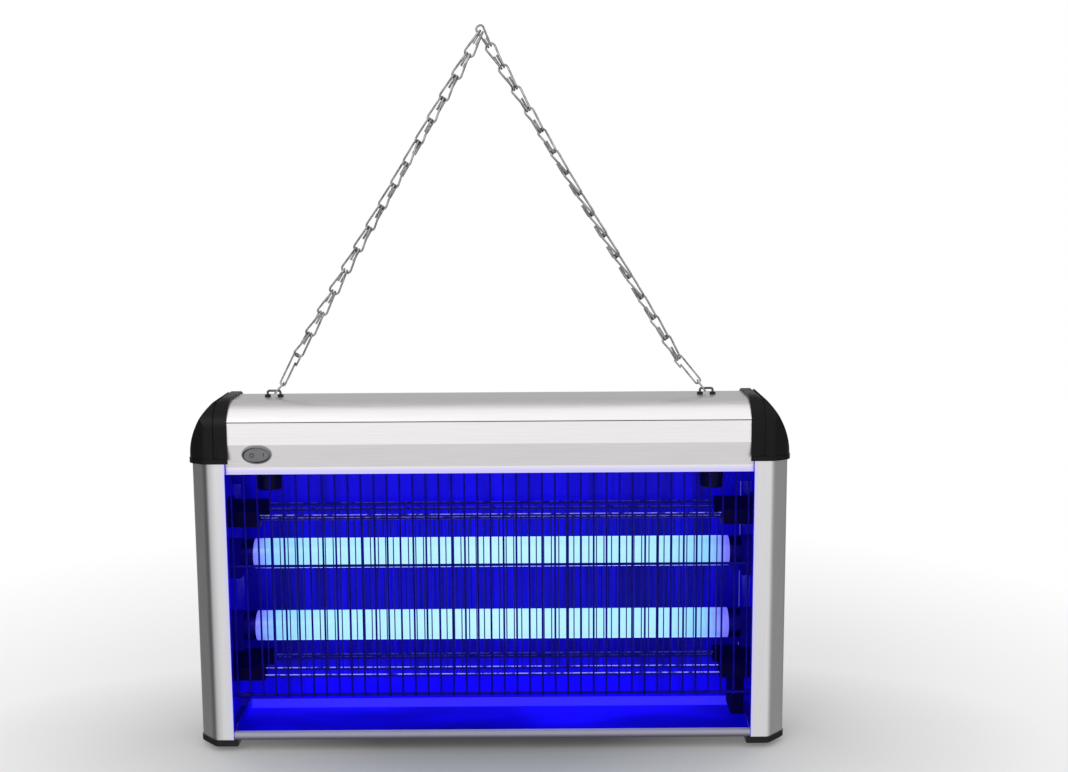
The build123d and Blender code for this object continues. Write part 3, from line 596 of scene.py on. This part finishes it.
def switch_marks():
    """A ring on the rocker's left wing and a bar on its right one, standing a little proud."""
    tilt = math.radians(7.0)        # of each wing, and of the whole rocker at rest
    valley = 0.0012                 # height of the line between the wings, above the pivot
    ring_reach, bar_reach = 0.0042, 0.0056      # from that line to each mark
    across = Vector((1, 0, 0))
    basis = Matrix((across, ROCKER_UP, across.cross(ROCKER_UP))).transposed().to_4x4()
    rocker = Matrix.Translation(ROCKER_PIVOT) @ basis @ Matrix.Rotation(tilt, 4, "Y")

    def on_wing(side, reach):
        """A place on the left (-1) or right (1) wing."""
        place = Matrix.Translation((side * reach, 0, valley + reach * math.tan(tilt)))
        return rocker @ place @ Matrix.Rotation(-side * tilt, 4, "Y")

    ring = oval_ring(0.0015, 1.15, 0.00028, on_wing(-1, ring_reach))
    piece("switch_off_mark", ring, "switch_mark", "switch_rocker")
    bar = rounded_block((0.00055, 0.0034, 0.00036), 0.00012, on_wing(1, bar_reach))
    piece("switch_on_mark", bar, "switch_mark", "switch_rocker")


def guard_welds():
    """A weld bead wherever an upright guard wire crosses one of the three level wires."""
    wires, pitch = 41, 0.011
    radius, flat = 0.0013, 0.8      # of a bead, and how flattened it is from front to back
    low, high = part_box("front_guard")
    crossing_y = low.y + 0.0016
    levels = (low.z + 0.0015, low.z + 0.1161, high.z - 0.0016)      # the middles of the level wires
    beads = bmesh.new()
    for level in levels:
        for i in range(wires):
            x = CENTRE.x + (i - (wires - 1) / 2) * pitch
            place = Matrix.Translation((x, crossing_y, level)) @ Matrix.Diagonal((1.0, flat, 1.0, 1.0))
            bmesh.ops.create_icosphere(beads, subdivisions=2, radius=radius, matrix=place)
    piece("guard_welds", beads, "guard_wire", "housing")


def rear_seal():
    """Soft strip under the reflector's lip, which closes the gap behind the tray's back wall."""
    depth, drop, inset = 0.0016, 0.0021, 0.0002
    size = (REFLECTOR_HIGH.x - REFLECTOR_LOW.x, depth, drop)
    place = Vector((CENTRE.x, REFLECTOR_HIGH.y - inset - depth / 2, REFLECTOR_LOW.z - drop / 2))
    strip = rounded_block(size, 0.0003, Matrix.Translation(place))
    piece("rear_seal", strip, "seal_rubber", "housing")


def soften(node, width, angle, segments=2):
    """Rounds a CAD node's edges a little, as moulding does, where they turn by more than an angle."""
    edge = NODES[node].modifiers.new("soft_edges", "BEVEL")
    edge.width = width
    edge.segments = segments
    edge.limit_method = "ANGLE"
    edge.angle_limit = math.radians(angle)
    edge.use_clamp_overlap = True


switch_marks()
guard_welds()
rear_seal()
for side in ("left", "right"):
    soften("end_cap_" + side, 0.0008, 12, 3)
    soften("foot_" + side, 0.0006, 30)


# ---- stage, light and camera ----

def area(name, place, target, size, power, colour=(1, 1, 1)):
    """A rectangular light that the camera doesn't see, turned towards a target."""
    lamp = bpy.data.lights.new(name, "AREA")
    lamp.shape = "RECTANGLE"
    lamp.size, lamp.size_y = size
    lamp.energy = power
    lamp.color = colour
    obj = bpy.data.objects.new(name, lamp)
    obj.location = place
    obj.rotation_euler = (Vector(target) - Vector(place)).to_track_quat("-Z", "Y").to_euler()
    obj.visible_camera = False
    bpy.context.scene.collection.objects.link(obj)
    return obj


def stage_piece(name, finish):
    obj = bpy.context.object
    obj.name = name
    obj.data.materials.append(finish.material)
    obj.visible_glossy = False
    return obj


def floor():
    """Pale paper: painted shadow, grey near the object, and white further off."""
    clearance = 0.004       # under the feet, as the object hangs
    finish = Finish("floor_paper", (0.80, 0.80, 0.81, 1), 0.8, Specular_IOR_Level=0.1)
    finish.vary_roughness(finish.noise(12), 0.75, 0.85)

    def spread(stretch):
        """Distance from the middle of the floor, with each axis multiplied."""
        made = finish.node("ShaderNodeVectorMath")
        made.operation = "LENGTH"
        finish.link(finish.stretched(stretch), made.inputs[0])
        return made.outputs["Value"]

    # painted shadow: the floor darkens towards the spot under the object
    near = finish.window(spread((1.0, 2.4, 1.0)), 0.0, 0.5)
    finish.paint(finish.ramp(near, greys((0.2, 0.30), (0.75, 0.66), (1.0, 0.8))))
    fade = finish.window(spread((1, 1, 1)), 0.1, 1.0)
    mixer = finish.node("ShaderNodeMixShader")
    finish.link(finish.ramp(fade, greys((0.0, 0.05), (0.35, 0.3), (0.8, 1.0))), mixer.inputs["Fac"])
    glow = finish.node("ShaderNodeEmission", Color=WHITE, Strength=1.0)
    finish.link(finish.shader.outputs["BSDF"], mixer.inputs[1])
    finish.link(glow.outputs["Emission"], mixer.inputs[2])
    finish.link(mixer.outputs["Shader"], finish.tree.nodes["Material Output"].inputs["Surface"])
    bpy.ops.mesh.primitive_plane_add(size=16, location=(0, 0, FEET_Z - clearance))
    stage_piece("floor", finish)


def backdrop():
    """A white dome that only the camera sees."""
    finish = Finish("backdrop_white", WHITE, 1.0)
    glow = finish.node("ShaderNodeEmission", Color=WHITE, Strength=1.0)
    finish.link(glow.outputs["Emission"], finish.tree.nodes["Material Output"].inputs["Surface"])
    bpy.ops.mesh.primitive_uv_sphere_add(segments=48, ring_count=24, radius=9, location=(0, 0, FEET_Z))
    dome = stage_piece("backdrop", finish)
    dome.visible_diffuse = False
    dome.visible_transmission = False
    dome.visible_shadow = False


def studio():
    """Soft light from the front and above, with dark sides and a dimmer back, to shape the metal."""
    world = bpy.data.worlds.new("studio")
    bpy.context.scene.world = world
    world.use_nodes = True
    steps = Steps(world.node_tree)
    direction = steps.node("ShaderNodeTexCoord").outputs["Generated"]
    light = None
    for axis, stops in (
            ("X", greys((0.0, 0.2), (0.04, 0.24), (0.12, 0.6), (0.22, 1.0),
                        (0.78, 1.0), (0.88, 0.66), (0.96, 0.42), (1.0, 0.38))),
            ("Y", greys((0.0, 0.96), (0.45, 1.0), (0.57, 0.9), (0.68, 0.46), (1.0, 0.40))),
            ("Z", greys((0.0, 0.5), (0.21, 0.7), (0.34, 0.88), (0.43, 1.0), (1.0, 1.0)))):
        share = steps.window(steps.component(direction, axis), -1.0, 1.0)
        level = steps.ramp(share, stops)
        light = level if light is None else steps.maths("MULTIPLY", light, level)
    background = world.node_tree.nodes["Background"]
    steps.link(light, background.inputs["Color"])
    background.inputs["Strength"].default_value = 1.1
    area("key", (-0.9, -1.3, 0.5), CENTRE, (1.2, 0.9), 6)
    for name, x in (("back_left", -1.3), ("back_right", 1.3)):
        area(name, (x, 1.1, 0.3), CENTRE, (0.8, 0.8), 5)


def inner_glow():
    """The blue light that the tubes throw about inside the housing; it leaves the stage alone."""
    lit = bpy.data.collections.new("lit_by_tubes")
    for obj in bpy.context.scene.objects:
        if obj.type == "MESH" and obj.name not in ("floor", "backdrop"):
            lit.objects.link(obj)
    span = OPENING_HALF * 1.8
    violet, blue = (0.2, 0.16, 1.0), (0.02, 0.0, 1.0)
    forward, backward = Vector((0, -1, 0.05)), Vector((0, 1, 0))
    behind_tubes = 0.006
    lamps = []
    for level in ("upper", "lower"):
        place = Vector((CENTRE.x, behind_tubes, middle("tube_glass_" + level).z))
        lamps.append(area("glow_back_" + level, place, place + backward, (span, 0.02), 1.0, blue))
    place = Vector((CENTRE.x, 0.0, (REFLECTOR_LOW.z + REFLECTOR_HIGH.z) / 2))
    lamps.append(area("glow_front", place, place + forward, (span, 0.12), 0.3, violet))
    for lamp in lamps:
        lamp.light_linking.receiver_collection = lit


def camera():
    """Stands where the photograph was taken from: a little above the middle, looking slightly down."""
    place = (0.0405, -1.1997, -0.1357)
    pitch, yaw, roll = 0.139, -0.002, -0.006
    lens = bpy.data.cameras.new("camera")
    lens.lens = 47.2
    lens.sensor_width = 36.0
    lens.clip_start = 0.01
    obj = bpy.data.objects.new("camera", lens)
    level = Matrix.Rotation(yaw, 4, "Z") @ Matrix.Rotation(math.pi / 2 - pitch, 4, "X")
    obj.matrix_world = Matrix.Translation(place) @ level @ Matrix.Rotation(roll, 4, "Z")
    bpy.context.scene.collection.objects.link(obj)
    bpy.context.scene.camera = obj


floor()
backdrop()
studio()
inner_glow()
camera()
bpy.context.scene.view_settings.view_transform = "Standard"
